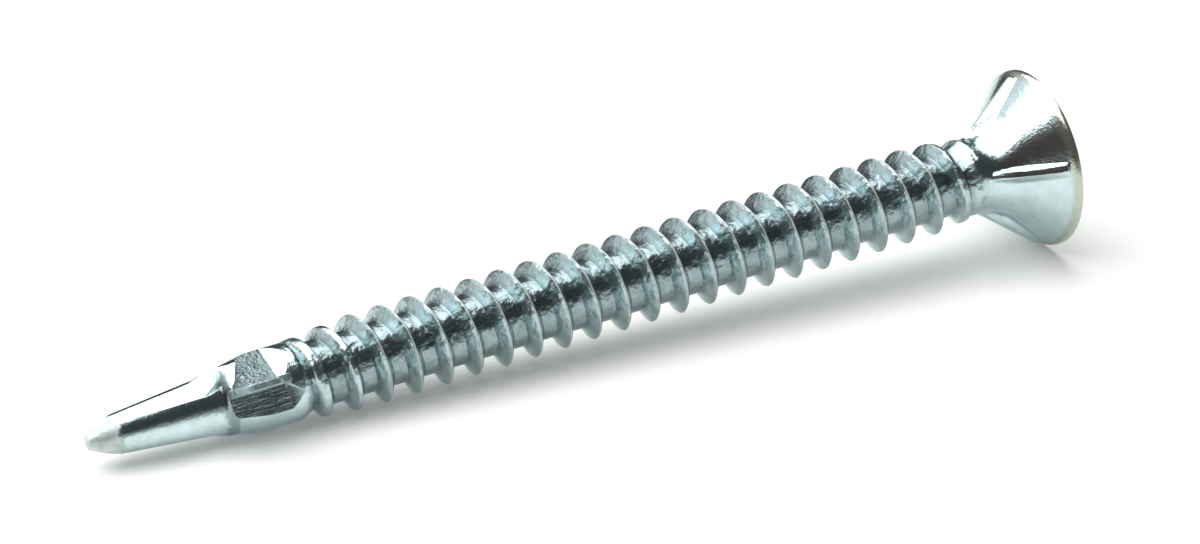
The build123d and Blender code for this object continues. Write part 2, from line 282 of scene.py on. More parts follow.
# %% Rings
BAND_START, BAND_END = 10.0, 47.6
BAND_ROWS = (-0.72, -0.64, -0.57, -0.51, -0.45, -0.36, -0.24, -0.15, -0.09, 0.0,
             0.09, 0.15, 0.24, 0.36, 0.45, 0.51, 0.57, 0.64, 0.72, 0.8)   # from the crest
DRILL_HEIGHTS = np.concatenate([
    (0, 0.02, 0.05, 0.1, 0.2, 0.3, 0.4),   # blunt end
    np.arange(0.6, 1.2, 0.2),
    np.arange(1.25, 1.6, 0.05),            # edge between point and lands
    np.arange(1.8, 6.4, 0.3),
    np.arange(6.5, 7.1, 0.04),             # step and shoulder
    np.arange(7.2, BAND_START, 0.2),
    (BAND_START,),
])
RIB_REACH, RIBS_STOP = 0.8, LENGTH - 0.1   # radians to a rib's sides; the top has no ribs
straight = column_angles(COLUMNS_TURN)


def ring(heights, angles, radii):
    return np.stack([radii * np.cos(angles), radii * np.sin(angles), heights + 0 * angles], axis=1)


def body_ring(height):
    return ring(height, straight, surface_radius(height, straight))


def band_rings():
    """Rows that climb with the thread, cut off level at both ends of the band."""
    start = CREST_AT_WING - PITCH * (math.ceil((CREST_AT_WING - BAND_START) / PITCH) + 2)
    turns = math.ceil((BAND_END - start) / PITCH) + 2
    climbs = [start + turn * PITCH + row for turn in range(turns) for row in BAND_ROWS]
    return [body_ring(np.clip(climb + PITCH * straight / math.tau, BAND_START, BAND_END))
            for climb in climbs]


def head_ring(radius, height):
    """A ring at one point of the head's profile, lifted off the cone by the ribs."""
    distance = (radius - BLANK + height - CONE_FOOT) * SLANT
    angles = column_angles(distance if height < LENGTH else CONE_LENGTH)
    rise = (radius - BLANK - height + CONE_FOOT) * SLANT + 0 * angles
    for rib in range(RIBS if height < RIBS_STOP else 0):
        away = (angles - RIB_ANGLE - rib * math.tau / RIBS + math.pi) % math.tau - math.pi
        side = radius * np.tan(np.clip(away, -RIB_REACH, RIB_REACH))
        lifted = soft_max(rise, rib_height(distance, side), RIB_FOOT)
        rise = np.where(np.abs(away) < RIB_REACH, lifted, rise)
    radii, heights = BLANK + (distance + rise) * SLANT, CONE_FOOT + (distance - rise) * SLANT
    if height < THREAD_END:
        radii = np.maximum(radii, surface_radius(heights, angles))
    return ring(heights, angles, radii)


print("rings: drill", len(DRILL_HEIGHTS), "band", len(band_rings()), "head", len(head_profile()))

# %% [markdown]
# ## Joining the rings
# A level ring closes on itself, and a row of the band closes on the row one turn further up.
# Filling between them by hand would mean tens of thousands of faces, so a loop joins each pair
# of neighbours with four-sided faces. A weld then drops what the level cuts squeezed flat.

# %% Mesh of the blank with its thread
WELD = 2e-5


def blank_mesh():
    """All rings in order, and the faces between them."""
    rings = [body_ring(height) for height in DRILL_HEIGHTS]
    first_band = len(rings)
    rings += band_rings()
    last_band = len(rings) - 1
    rings += [body_ring(height) for height in np.linspace(BAND_END, head_profile()[0][1], 4)[:-1]]
    rings += [head_ring(radius, height) for radius, height in head_profile()]
    points = np.concatenate(rings)
    number = np.arange(len(points)).reshape(len(rings), COLUMNS)
    faces = []
    for i in range(len(rings) - 1):
        banded = first_band <= i < last_band
        on = i + len(BAND_ROWS) if banded else i
        lower, upper = list(number[i]), list(number[i + 1])
        if not banded or on < last_band:
            lower, upper = lower + [number[on, 0]], upper + [number[on + 1, 0]]
        faces += zip(lower, lower[1:], upper[1:], upper)
    return points, faces + [tuple(number[0][::-1]), tuple(number[-1])]


def mesh_object(name, points, faces):
    mesh = bpy.data.meshes.new(name)
    mesh.from_pydata([tuple(map(float, p)) for p in points], [], [tuple(map(int, f)) for f in faces])
    piece = bpy.data.objects.new(name, mesh)
    bpy.context.scene.collection.objects.link(piece)
    return piece


def clean(piece, gap):
    """Welds points closer than the gap and drops faces without area."""
    work = bmesh.new()
    work.from_mesh(piece.data)
    bmesh.ops.remove_doubles(work, verts=work.verts, dist=gap)
    bmesh.ops.dissolve_degenerate(work, edges=work.edges, dist=gap)
    bmesh.ops.recalc_face_normals(work, faces=work.faces)
    open_edges = sum(1 for edge in work.edges if len(edge.link_faces) != 2)
    work.to_mesh(piece.data)
    work.free()
    return open_edges


screw = mesh_object("screw_plated", *blank_mesh())
print("blank: open edges", clean(screw, WELD), "faces", len(screw.data.polygons))

# %% [markdown]
# ## Dies
# Every other form is what a die left: two flutes, four stamped pockets, two fins squeezed out
# sideways and the cross recess. They could be modelled face by face, but then each place where
# they meet the thread or each other would be worked out by hand. So each die is a small closed
# mesh, lofted through a few outlines, and one half-turn copy of it serves the other side, as
# the real dies close in pairs.

# %% Dies
TOOL_WELD = 1e-6


def loft(name, sections, heights):
    """A closed solid through outlines of equal count, one per height."""
    count = len(sections[0])
    points = [(x, y, z) for outline, z in zip(sections, heights) for x, y in outline]
    faces = [tuple(range(count))[::-1], tuple(len(points) - count + i for i in range(count))]
    for level in range(len(sections) - 1):
        for i in range(count):
            a, b = level * count + i, level * count + (i + 1) % count
            faces.append((a, b, b + count, a + count))
    tool = mesh_object(name, points, faces)
    clean(tool, TOOL_WELD)
    return tool


def prism(name, outline, reach, x, y, z):
    """An outline pushed out along its own Z from one reach to the other, then turned to x, y, z."""
    tool = loft(name, [outline, outline], reach)
    tool.data.transform(Matrix((x, y, z)).transposed().to_4x4())
    clean(tool, TOOL_WELD)
    return tool


def half_turned(tool):
    """Adds the same tool on the other side of the axis."""
    work = bmesh.new()
    work.from_mesh(tool.data)
    other = bmesh.ops.duplicate(work, geom=work.verts[:] + work.edges[:] + work.faces[:])
    moved = [item for item in other["geom"] if isinstance(item, bmesh.types.BMVert)]
    bmesh.ops.rotate(work, verts=moved, cent=(0, 0, 0), matrix=Matrix.Rotation(math.pi, 3, "Z"))
    work.to_mesh(tool.data)
    work.free()
    return tool


print("welds: screw", WELD, "mm, dies", TOOL_WELD, "mm")

# %% [markdown]
# ## Pressing a die in
# Struck steel is rougher than drawn wire, so the two need finishes of their own. They could be
# painted on face by face afterwards, but the boolean that presses a die in can hand the die's
# finish over to the faces that it makes.

# %% Pressing
plating = bpy.data.materials.new("bright_zinc")
struck = bpy.data.materials.new("struck_zinc")
stamped = bpy.data.materials.new("streaked_zinc")
squeezed = bpy.data.materials.new("fin_zinc")
finishes = (plating, struck, stamped, squeezed)
screw.data.materials.append(plating)


def coated(tool, finish):
    """Gives every face of a tool the same finish."""
    tool.data.materials.clear()
    tool.data.materials.append(finish)
    tool.data.polygons.foreach_set("material_index", [0] * len(tool.data.polygons))
    return tool


def press(piece, tool, operation="DIFFERENCE"):
    """Cuts or joins the tool into the piece, and drops the tool."""
    step = piece.modifiers.new("press", "BOOLEAN")
    step.operation, step.solver, step.object = operation, "EXACT", tool
    step.material_mode = "TRANSFER"
    pressed = piece.evaluated_get(bpy.context.evaluated_depsgraph_get())
    mesh = bpy.data.meshes.new_from_object(pressed)
    piece.modifiers.clear()
    piece.data = mesh
    bpy.data.objects.remove(tool)
    return piece


print("finishes", [finish.name for finish in finishes])

# %% [markdown]
# ## Flutes
# A flute is the chip channel of the drill: a V between a cutting face and the back of the other
# land, straight at first, then flattening into one plane that runs out of the steel. A twisted
# milled flute is the other common kind, but a forged one has to let the dies open, so it is
# straight. Its valley is a little rounded and the heel of the land is worn, as dies wear there.

# %% Flutes
FLUTE_EDGE = 0.48              # from the plane of the axis to a cutting edge
FLUTE_VALLEY = 0.35            # from the plane across the wings to the bottom of the V
FLUTE_BACK = 100               # degrees from the wing to the back of the V
FLUTE_STRAIGHT, FLUTE_WEB = 5.95, 0.76     # end of the straight part, and the web there
TIP_WEBS = [(-1.0, 1.5), (0.02, 0.95), (0.4, 0.66)]   # the web is thicker at the blunt end
LAND_GROWTH = 0.56             # in radius, from the point to the end of the lands
FLUTE_TURN, TURN_DISTANCE = 7.2, 1.6       # the V is one plane here, this far from the axis
FLUTE_END, FLUTE_FACING = 8.4, 53          # the plane leaves the steel, and where it faces
HEEL_WEAR, HEEL_FACING, HEEL_REACH = 0.17, 68, 1.2    # depth, degrees, length of the worn strip
VALLEY_TO_AXIS = 0.4
VALLEY_ROUNDING, HEEL_ROUNDING, FLAT_BEND = 0.07, 0.04, 0.6   # as shares of their sides
LEVELS = (1, 1, 14, 10, 6)     # steps between one given section and the next


def flute_outline(valley, edge, far, bend, heel):
    """Cutting face, rounded valley, back of the V, worn heel, and a far corner in the open."""
    face = [edge + (valley - edge) * s for s in np.linspace(0, 1 - VALLEY_ROUNDING, 6)]
    turn = [valley + VALLEY_ROUNDING * ((edge - valley) * (1 - s) ** 2 + (bend - valley) * s ** 2)
            for s in (0.25, 0.5, 0.75)]
    back = [valley + (bend - valley) * s for s in np.linspace(VALLEY_ROUNDING, 1 - HEEL_ROUNDING, 5)]
    return face + turn + back + [bend + (heel - bend) * HEEL_ROUNDING, heel, far]


def vee(radius, web):
    """The V at a place where the lands have this radius."""
    valley = np.array([FLUTE_VALLEY, -web / 2])
    edge = polar(radius, math.degrees(math.asin(FLUTE_EDGE / radius)))
    wear = HEEL_WEAR / (radius - VALLEY_TO_AXIS)
    bend = valley + (polar(radius, FLUTE_BACK) - valley) * (1 - wear)
    heel = bend + polar(HEEL_REACH, HEEL_FACING + 90)
    return flute_outline(valley, edge * 2 - valley, (edge + heel) * 2 - valley * 3, bend, heel)


def flat(distance):
    """The plane that the V flattens into, at a distance from the axis."""
    middle, out = polar(distance, FLUTE_FACING), polar(BLANK, FLUTE_FACING)
    side = polar(BLANK, FLUTE_FACING + 90)
    return flute_outline(middle, middle - side, middle + out, middle + side * FLAT_BEND, middle + side)


def flute_tool():
    straight_share = (FLUTE_STRAIGHT - POINT_LENGTH) / (LAND_END - POINT_LENGTH)
    keys = [(height, vee(POINT_RADIUS, web)) for height, web in TIP_WEBS]
    keys.append((FLUTE_STRAIGHT, vee(POINT_RADIUS + LAND_GROWTH * straight_share, FLUTE_WEB)))
    keys += [(FLUTE_TURN, flat(TURN_DISTANCE)), (FLUTE_END, flat(BLANK))]
    sections, heights = [], []
    for (low, start), (high, stop), levels in zip(keys, keys[1:], LEVELS):
        for share in np.arange(levels) / levels:
            sections.append([p + (q - p) * share for p, q in zip(start, stop)])
            heights.append(low + (high - low) * share)
    return loft("flute_tool", sections + [keys[-1][1]], heights + [keys[-1][0]])


press(screw, half_turned(flute_tool()))
print("fluted: faces", len(screw.data.polygons))

# %% [markdown]
# ## Pockets
# Two dies squeeze the wings out of the wire, and each leaves a pocket with a flat floor and a
# ramp behind it, one above the wing and one below. The two are unlike, because the upper one
# opens into the flute. Cutting a plain box would give them square ends, so the floor and the
# ramp are one profile pushed across the wire, kept inside the outline that the die had.

# %% Pockets
WING_THICKNESS, POCKET_RAMP = 0.4, 0.7
BEYOND = 1.0                   # how far the dies reach past the wire
UPPER_POCKET = {"side": 1, "facing": 42.0, "far_edge": 1.87, "front": 6.95, "skew": 0.75,
                "floor_end": 9.35, "corner": THREAD_START, "corner_slope": 0}
LOWER_POCKET = {"side": -1, "facing": -6.0, "far_edge": 1.25, "front": 6.78, "skew": 0,
                "floor_end": 9.7, "corner": 9.65, "corner_slope": 1.2}


def pocket_tool(side, facing, far_edge, front, skew, floor_end, corner, corner_slope):
    """A floor that faces one way, with its ramp, inside the die's outline seen from the wing."""
    reach = BLANK + BEYOND
    out, across = polar(1, facing), polar(1, facing - 90)
    floor = float(np.array([math.sqrt(BLANK ** 2 - far_edge ** 2), -side * far_edge]) @ out)
    ramp = POCKET_RAMP / (BLANK - floor)
    profile = [(floor, LAND_END), (floor, floor_end),
               (reach, floor_end + ramp * (reach - floor)), (reach, LAND_END)]
    tool = prism("pocket_tool", profile, (-reach, reach), (*out, 0), (0, 0, 1), (*across, 0))
    near = -WING_THICKNESS if side > 0 else 0.0
    outline = [(near, front), (near, corner), (-side * reach, corner + corner_slope * reach),
               (-side * reach, front + skew * (reach + near))]
    limit = prism("pocket_limit", outline, (0, reach), (0, 1, 0), (0, 0, 1), (1, 0, 0))
    return press(tool, limit, "INTERSECT")


for measures, finish in ((UPPER_POCKET, struck), (LOWER_POCKET, stamped)):
    press(screw, coated(half_turned(pocket_tool(**measures)), finish))
print("with pockets: faces", len(screw.data.polygons))

# %% [markdown]
# ## Wings
# The wings ream a wide hole through the timber and break off at the steel. Each is a thin fin
# with leaning ends and rounded corners. A bevel on the finished screw would round the thread as
# well, so the fin's edges are bevelled first and the fin is joined to the wire afterwards.

# %% Wings
WING_ROOTED, WING_TIP = 0.8, 3.05          # from the axis
WING_FRONT, WING_BACK = 6.8, 9.9           # heights of its feet
FRONT_LEAN, BACK_LEAN = 0.35, 0.65
WING_CORNER, FRONT_INSET, BACK_INSET = 0.3, 0.36, 0.42   # radius, and corner to its middle
WING_WEAR = 0.05


def fin_tool():
    corners = []
    for middle, start in ((WING_FRONT + FRONT_LEAN + FRONT_INSET, -90),
                          (WING_BACK - BACK_LEAN - BACK_INSET, 0)):
        for turn in np.radians(np.linspace(start, start + 90, 7)):
            corners.append((WING_TIP - WING_CORNER + WING_CORNER * math.cos(turn),
                            middle + WING_CORNER * math.sin(turn)))
    outline = [(WING_ROOTED, WING_FRONT), (BLANK, WING_FRONT), *corners,
               (BLANK, WING_BACK), (WING_ROOTED, WING_BACK)]
    return prism("fin", outline, (0, WING_THICKNESS), (1, 0, 0), (0, 0, 1), (0, -1, 0))


def worn(fin):
    """Bevels the edges of both faces of a fin where they lie outside its root."""
    work = bmesh.new()
    work.from_mesh(fin.data)
    edges = [edge for edge in work.edges
             if abs(edge.verts[0].co.y - edge.verts[1].co.y) < WING_THICKNESS / 2
             and min(vertex.co.x for vertex in edge.verts) > (WING_ROOTED + BLANK) / 2]
    bmesh.ops.bevel(work, geom=edges, offset=WING_WEAR, segments=2, affect="EDGES")
    work.to_mesh(fin.data)
    work.free()
    return fin


press(screw, coated(half_turned(worn(fin_tool())), squeezed), "UNION")
print("with wings: faces", len(screw.data.polygons))

# %% [markdown]
# ## Cross recess
# The driver fits a tapered cross with a conical middle, which one punch strikes into the head.
# A cross alone would leave the corners between its blades sharp and its foot flat, so two tools
# are pressed in after each other: the blades, and then the cone between them.

# %% Recess
RECESS_SPAN, RECESS_FOOT, RECESS_DEPTH = 5.0, 2.3, 2.8     # over two slots at mouth and foot
BLADE_HALF, RECESS_POINT = 0.5, 0.45       # half a blade's width, and the conical foot's depth
ABOVE = 0.5                                # the tools stand out of the head by this
FOOT, MOUTH = LENGTH - RECESS_DEPTH, LENGTH + ABOVE
CORE = [(FOOT - RECESS_POINT, 0.02), (FOOT, 1.15), (MOUTH, 1.27)]   # heights and radii


def cross(span):
    """Outline of the cross: the same three corners at each quarter turn."""
    corners = [(BLADE_HALF, BLADE_HALF), (span / 2, BLADE_HALF), (span / 2, -BLADE_HALF)]
    outline = []
    for quarter in range(4):
        outline += corners
        corners = [(y, -x) for x, y in corners]
    return outline[::-1]


def circle(radius):
    return [(radius * math.cos(turn), radius * math.sin(turn))
            for turn in np.linspace(0, math.tau, 48, endpoint=False)]


mouth_span = RECESS_SPAN + (RECESS_SPAN - RECESS_FOOT) * ABOVE / RECESS_DEPTH
press(screw, coated(loft("recess_cross", [cross(RECESS_FOOT), cross(mouth_span)], [FOOT, MOUTH]), stamped))
press(screw, coated(loft("recess_core", [circle(r) for _, r in CORE], [h for h, _ in CORE]), stamped))
print("with recess: faces", len(screw.data.polygons), [m.name for m in screw.data.materials])

# %% [markdown]
# ## Laying it down
# A screw that is put down rolls until it rests on its rim, its thread and one wing. Those three
# touching points could be solved for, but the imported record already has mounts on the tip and
# along the axis, so the visible screw is carried there and lies exactly where the solid lies.
# Its standing coordinates stay with each vertex, for the finishes to follow.

# %% Place
ROLL = math.radians(30)        # the wing on the near side points up by this
CREASE = math.radians(32)      # edges that turn more than this stay sharp
mounts = {mount["name"]: mount for mount in frame["record"]["mounts"]}
tip = Vector(mounts["drill_point"]["pos_m"])
axis = -Vector(mounts["drill_point"]["axis"]).normalized()
tilt = math.atan2(axis.z, axis.x)
wing_side = Vector((-math.sin(ROLL) * math.sin(tilt), -math.cos(ROLL), math.sin(ROLL) * math.cos(tilt)))
place = Matrix((wing_side, axis.cross(wing_side), axis)).transposed().to_4x4()
place.translation = tip
standing = screw.data.attributes.new("standing", "FLOAT_VECTOR", "POINT")
standing.data.foreach_set("vector", np.array([v.co for v in screw.data.vertices]).ravel())
screw.data.transform(place @ Matrix.Scale(MM, 4))
for polygon in screw.data.polygons:
    polygon.use_smooth = True
screw.data.set_sharp_from_angle(angle=CREASE)
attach(screw, "root")
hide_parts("screw")
print("tip", [round(x / MM, 3) for x in tip], "tilt", round(math.degrees(tilt), 3), "degrees")

# %% [markdown]
# ## Small helpers for nodes
# Each finish is a tree of shader nodes. It could be wired by hand in the editor, but in code a
# chain of nodes reads like a formula once a few helpers add, set and link them, and one of
# them makes a band: a mask that rises over one stretch of heights and falls over another.

# %% Node helpers
def feed(tree, socket, value):
    """Links a socket to another node's output, or sets its value."""
    if isinstance(value, bpy.types.NodeSocket):
        tree.links.new(value, socket)
    else:
        socket.default_value = value


def add(tree, kind, values=None, **settings):
    """A node with its settings, and its sockets fed by name or number."""
    node = tree.nodes.new(kind)
    for key, value in settings.items():
        setattr(node, key, value)
    for key, value in (values or {}).items():
        feed(tree, node.inputs[key], value)
    return node


def maths(tree, operation, *values):
    return add(tree, "ShaderNodeMath", dict(enumerate(values)), operation=operation).outputs[0]


def mapped(tree, value, low, high, to_low=0.0, to_high=1.0):
    return add(tree, "ShaderNodeMapRange", {"Value": value, "From Min": low, "From Max": high,
                                            "To Min": to_low, "To Max": to_high}, clamp=True).outputs[0]


def band(tree, value, rise, fall):
    """One between two places, from which it falls to zero on both sides."""
    return maths(tree, "MULTIPLY", mapped(tree, value, *rise), mapped(tree, value, *fall))


def mixed(tree, share, a, b):
    return add(tree, "ShaderNodeMix", {0: share, 6: a, 7: b}, data_type="RGBA").outputs[2]


def noise(tree, where, scale, detail=3.0, roughness=0.55):
    return add(tree, "ShaderNodeTexNoise", {"Vector": where, "Scale": scale, "Detail": detail,
                                            "Roughness": roughness}).outputs["Fac"]


def fresh(owner):
    """An empty node tree for a material or a world."""
    owner.use_nodes = True
    owner.node_tree.nodes.clear()
    return owner.node_tree


for finish in finishes:
    fresh(finish)
print("nodes before wiring", {finish.name: len(finish.node_tree.nodes) for finish in finishes})

# %% [markdown]
# ## Effects that the finishes share
# Dies and rollers leave a dimpled skin, drawing leaves fine lines along the wire, and zinc is
# cool and bright where it is thick and greyer where it is dull. An image could be painted for
# each, but it would stretch over the thread. So each is a group of nodes that reads the
# screw's own millimetres, and a finish sets how deep or how dull it is.

# %% Effect groups
def effect(name, inputs, outputs):
    """A node group with named inputs (name: (kind, default)) and outputs (name: kind)."""
    group = bpy.data.node_groups.new(name, "ShaderNodeTree")
    for label, (kind, default) in inputs.items():
        socket = group.interface.new_socket(name=label, in_out="INPUT", socket_type=kind)
        if default is not None:
            socket.default_value = default
    for label, kind in outputs.items():
        group.interface.new_socket(name=label, in_out="OUTPUT", socket_type=kind)
    return group, group.nodes.new("NodeGroupInput").outputs


def put_out(group, results):
    add(group, "NodeGroupOutput", results)


def use(tree, group, values):
    node = add(tree, "ShaderNodeGroup", node_tree=group)
    for label, value in values.items():
        feed(tree, node.inputs[label], value)
    return node.outputs


VECTOR, NUMBER, COLOUR = "NodeSocketVector", "NodeSocketFloat", "NodeSocketColor"
print("kinds of socket", VECTOR, NUMBER, COLOUR)

# %% [markdown]
# Dimples are coarse pits with a finer grain in them. Drawn lines are the same noise, stretched
# along the axis. The tone drifts in soft clouds, between two bright or two dull zincs.

# %% Dimples, drawn lines and tone
FINER = 3.7                    # times as many grains as pits to the millimetre
PIT_DETAIL, GRAIN_DETAIL = 1.6, 2.0        # octaves of noise in each
LINES_PER_MM = (8.0, 8.0, 0.6) # many across the axis, few along it
CLOUDS_PER_MM, CLOUD_RANGE = 1.6, (0.35, 0.65)   # the noise between which the tone drifts
BRIGHT_TONES = (0.50, 0.65, 0.65, 1), (0.60, 0.72, 0.76, 1)
DULL_TONES = (0.20, 0.27, 0.27, 1), (0.29, 0.35, 0.38, 1)
dimples, given = effect("dimples", {"Place": (VECTOR, None), "Per mm": (NUMBER, 3.0),
                                    "Depth": (NUMBER, 1.0), "Grain": (NUMBER, 0.2)},
                        {"Height": NUMBER, "Pits": NUMBER})
pits = noise(dimples, given["Place"], given["Per mm"], PIT_DETAIL)
grain = noise(dimples, given["Place"], maths(dimples, "MULTIPLY", given["Per mm"], FINER), GRAIN_DETAIL)
put_out(dimples, {"Height": maths(dimples, "ADD", maths(dimples, "MULTIPLY", pits, given["Depth"]),
                                  maths(dimples, "MULTIPLY", grain, given["Grain"])), "Pits": pits})

lines, given = effect("drawn_lines", {"Place": (VECTOR, None), "Depth": (NUMBER, 1.0)}, {"Height": NUMBER})
stretched = add(lines, "ShaderNodeMapping", {"Vector": given["Place"], "Scale": LINES_PER_MM}).outputs[0]
put_out(lines, {"Height": maths(lines, "MULTIPLY", noise(lines, stretched, 1.0), given["Depth"])})

tone, given = effect("zinc_tone", {"Place": (VECTOR, None), "Dull": (NUMBER, 0.0)}, {"Colour": COLOUR})
cloud = mapped(tone, noise(tone, given["Place"], CLOUDS_PER_MM), *CLOUD_RANGE)
bright, dull = mixed(tone, cloud, *BRIGHT_TONES), mixed(tone, cloud, *DULL_TONES)
put_out(tone, {"Colour": mixed(tone, given["Dull"], bright, dull)})
print("effects", [group.name for group in bpy.data.node_groups])

# %% [markdown]
# ## Bright zinc
# Electroplated zinc with a clear passivation: a cool, slightly blue metal. One even finish
# would look like chrome. On the real screw the rolled part is dimpled and duller, the crests
# and the point are rubbed matt and the rim is darker; the roots of the thread and the shoulder
# are darkened as painted shade. Masks along and out from the axis carry those differences.
# Edges are broken with a bevel in the shader, a twentieth of a millimetre wide, where real
# geometry would gain nothing.

# %% Zinc
EDGE, SKIN = 0.05 * MM, 0.05 * MM          # width of a broken edge, and depth of the skin
ROLLED = (9.6, 10.8), (48.4, 47.6)         # heights over which each zone sets in and ends
# Heights of the corner behind the step, which is darkened as painted shade.
SHOULDER_SHADE_ZONE = (6.45, 6.65), (7.15, 6.95)
POINT_ZONE, POINT_MATT = (1.5, 1.3), 0.6
RIM_UP, RIM_OUT, RIM_MATT = (51.25, 51.45), (4.0, 4.3), 0.12
# Radii of the thread's roots, which are darkened as painted shade.
ROOT_SHADE_ZONE = (1.85, 1.65)                   # radii
CREST_ZONE, CREST_MATT = (CREST - 0.06, CREST - 0.01), 0.7
PIT_RANGE, RAGGED = (0.35, 0.65), (-0.12, 0.12)   # pits of this range shift a border by this
PITS_PER_MM = 2.0
DRAWN_DEPTH, ROLLED_DEPTH = 0.2, 1.8       # of the pits
DRAWN_GRAIN, ROLLED_GRAIN = 0.2, 0.32


def standing_place(tree):
    """The standing coordinates in millimetres, and the height along the axis."""
    mm = add(tree, "ShaderNodeAttribute", attribute_name="standing").outputs["Vector"]
    return mm, add(tree, "ShaderNodeSeparateXYZ", {0: mm}).outputs["Z"]


def metal_surface(tree, colour, roughness, height, metallic=1.0):
    bevel = add(tree, "ShaderNodeBevel", {"Radius": EDGE}, samples=4).outputs[0]
    bump = add(tree, "ShaderNodeBump", {"Strength": 1.0, "Distance": SKIN, "Height": height,
                                        "Normal": bevel}).outputs[0]
    metal = add(tree, "ShaderNodeBsdfPrincipled", {"Base Color": colour, "Metallic": metallic,
                                                   "Roughness": roughness, "Normal": bump})
    add(tree, "ShaderNodeOutputMaterial", {"Surface": metal.outputs[0]})


tree = plating.node_tree
mm, along = standing_place(tree)
across = add(tree, "ShaderNodeVectorMath", {0: mm, 1: (1, 1, 0)}, operation="MULTIPLY").outputs[0]
outward = add(tree, "ShaderNodeVectorMath", {0: across}, operation="LENGTH").outputs["Value"]
rolled = band(tree, along, *ROLLED)
# Mask of the thread's roots, where the zinc is darkened as painted shade.
root = maths(tree, "MULTIPLY", rolled, mapped(tree, outward, *ROOT_SHADE_ZONE))
crest = maths(tree, "MULTIPLY", rolled, mapped(tree, outward, *CREST_ZONE, 0.0, CREST_MATT))
rim = maths(tree, "MULTIPLY", mapped(tree, along, *RIM_UP), mapped(tree, outward, *RIM_OUT))
skin = use(tree, dimples, {"Place": mm, "Per mm": PITS_PER_MM,
                           "Depth": mapped(tree, rolled, 0, 1, DRAWN_DEPTH, ROLLED_DEPTH),
                           "Grain": mapped(tree, rolled, 0, 1, DRAWN_GRAIN, ROLLED_GRAIN)})
ragged = maths(tree, "ADD", along, mapped(tree, skin["Pits"], *PIT_RANGE, *RAGGED))
point = mapped(tree, ragged, *POINT_ZONE, 0.0, POINT_MATT)
# Mask of the corner behind the step, darkened as painted shade.
shoulder_shade = band(tree, ragged, *SHOULDER_SHADE_ZONE)
matt = maths(tree, "MAXIMUM", crest, point)
matt = maths(tree, "MAXIMUM", matt, maths(tree, "MULTIPLY", rim, RIM_MATT))
print("zones in mm: rolled", ROLLED, "shoulder_shade", SHOULDER_SHADE_ZONE, "point", POINT_ZONE, "rim", RIM_UP)

# %% [markdown]
# ## Colour and gloss of the zinc
# Screws rub against each other in their box, which greys the crests and the rim. The corner
# behind the step and the roots of the thread are darkened with painted shade. A material for each
# zone would need its border cut into the mesh, so the masks mix each tone over the one before,
# and the same masks set how matt it is.

# %% Colour and gloss
CREST_TONE, RIM_TONE = (0.62, 0.66, 0.60, 1), (0.50, 0.54, 0.47, 1)
# Painted shade for the corner behind the step.
SHOULDER_PAINTED_SHADE = (0.27, 0.36, 0.36, 1)
POINT_TONES = (0.42, 0.48, 0.46, 1), (0.74, 0.80, 0.78, 1)   # in the pits and between them
POINT_PITS, FULLY_MATT = (0.3, 0.6), 0.6   # range of the pits; the mask's value at full roughness
# The second value darkens the thread's roots as painted shade.
ROLLED_DULL, ROOT_PAINTED_SHADE = 0.25, 0.6
DRAWN_GLOSS, ROLLED_GLOSS, MATT_GLOSS = 0.18, 0.26, 0.42     # as roughness
# Dull tone of the rolled part, plus painted shade in the thread's roots.
dullness_and_root_shade = maths(tree, "ADD", mapped(tree, rolled, 0, 1, 0.0, ROLLED_DULL),
                 maths(tree, "MULTIPLY", root, ROOT_PAINTED_SHADE))
shade = use(tree, tone, {"Place": mm, "Dull": dullness_and_root_shade})["Colour"]
shade = mixed(tree, crest, shade, CREST_TONE)
shade = mixed(tree, point, shade, mixed(tree, mapped(tree, skin["Pits"], *POINT_PITS), *POINT_TONES))
shade = mixed(tree, rim, shade, RIM_TONE)
# Painted shade in the corner behind the step.
shade = mixed(tree, shoulder_shade, shade, SHOULDER_PAINTED_SHADE)
gloss = maths(tree, "MAXIMUM", mapped(tree, rolled, 0, 1, DRAWN_GLOSS, ROLLED_GLOSS),
              mapped(tree, matt, 0, FULLY_MATT, 0.0, MATT_GLOSS))
metal_surface(tree, shade, gloss, skin["Height"], maths(tree, "SUBTRACT", 1.0, matt))
print(plating.name, "has", len(tree.nodes), "nodes")

# %% [markdown]
# ## Struck finishes
# The floors of the pockets and the fins keep the texture of their dies: pitted and dull on the
# upper floor, streaked and dull on the lower one, lightly pitted and brighter on the fins. The
# ramp behind a floor is where the die slid, so it is smoother, and so is the recess farther up.
# Three separate materials could be written out, but they differ only in amounts.

# %% Struck zinc
SMOOTH_GLOSS, RAMP_BORDER = 0.16, 0.15     # roughness behind the floor; the border's width
STRUCK_PITS_PER_MM = 5.0


def die_struck(finish, depth, grain, streak, dull, roughness, ramp):
    """Rough zinc up to the height of a ramp, and smoother zinc above that height."""
    tree = finish.node_tree
    mm, along = standing_place(tree)
    rough = mapped(tree, along, ramp, ramp - RAMP_BORDER)
    skin = use(tree, dimples, {"Place": mm, "Per mm": STRUCK_PITS_PER_MM, "Grain": grain,
                               "Depth": maths(tree, "MULTIPLY", rough, depth)})
    streaks = use(tree, lines, {"Place": mm, "Depth": maths(tree, "MULTIPLY", rough, streak)})["Height"]
    shade = use(tree, tone, {"Place": mm, "Dull": maths(tree, "MULTIPLY", rough, dull)})["Colour"]
    gloss = mapped(tree, rough, 0, 1, SMOOTH_GLOSS, roughness)
    metal_surface(tree, shade, gloss, maths(tree, "ADD", skin["Height"], streaks))


die_struck(struck, depth=2.6, grain=0.8, streak=0.0, dull=1.0, roughness=0.3, ramp=9.3)
die_struck(stamped, depth=0.35, grain=0.2, streak=0.6, dull=1.0, roughness=0.26, ramp=9.75)
die_struck(squeezed, depth=1.0, grain=0.4, streak=0.0, dull=0.0, roughness=0.34, ramp=LENGTH)
print("wired", {finish.name: len(finish.node_tree.nodes) for finish in finishes})

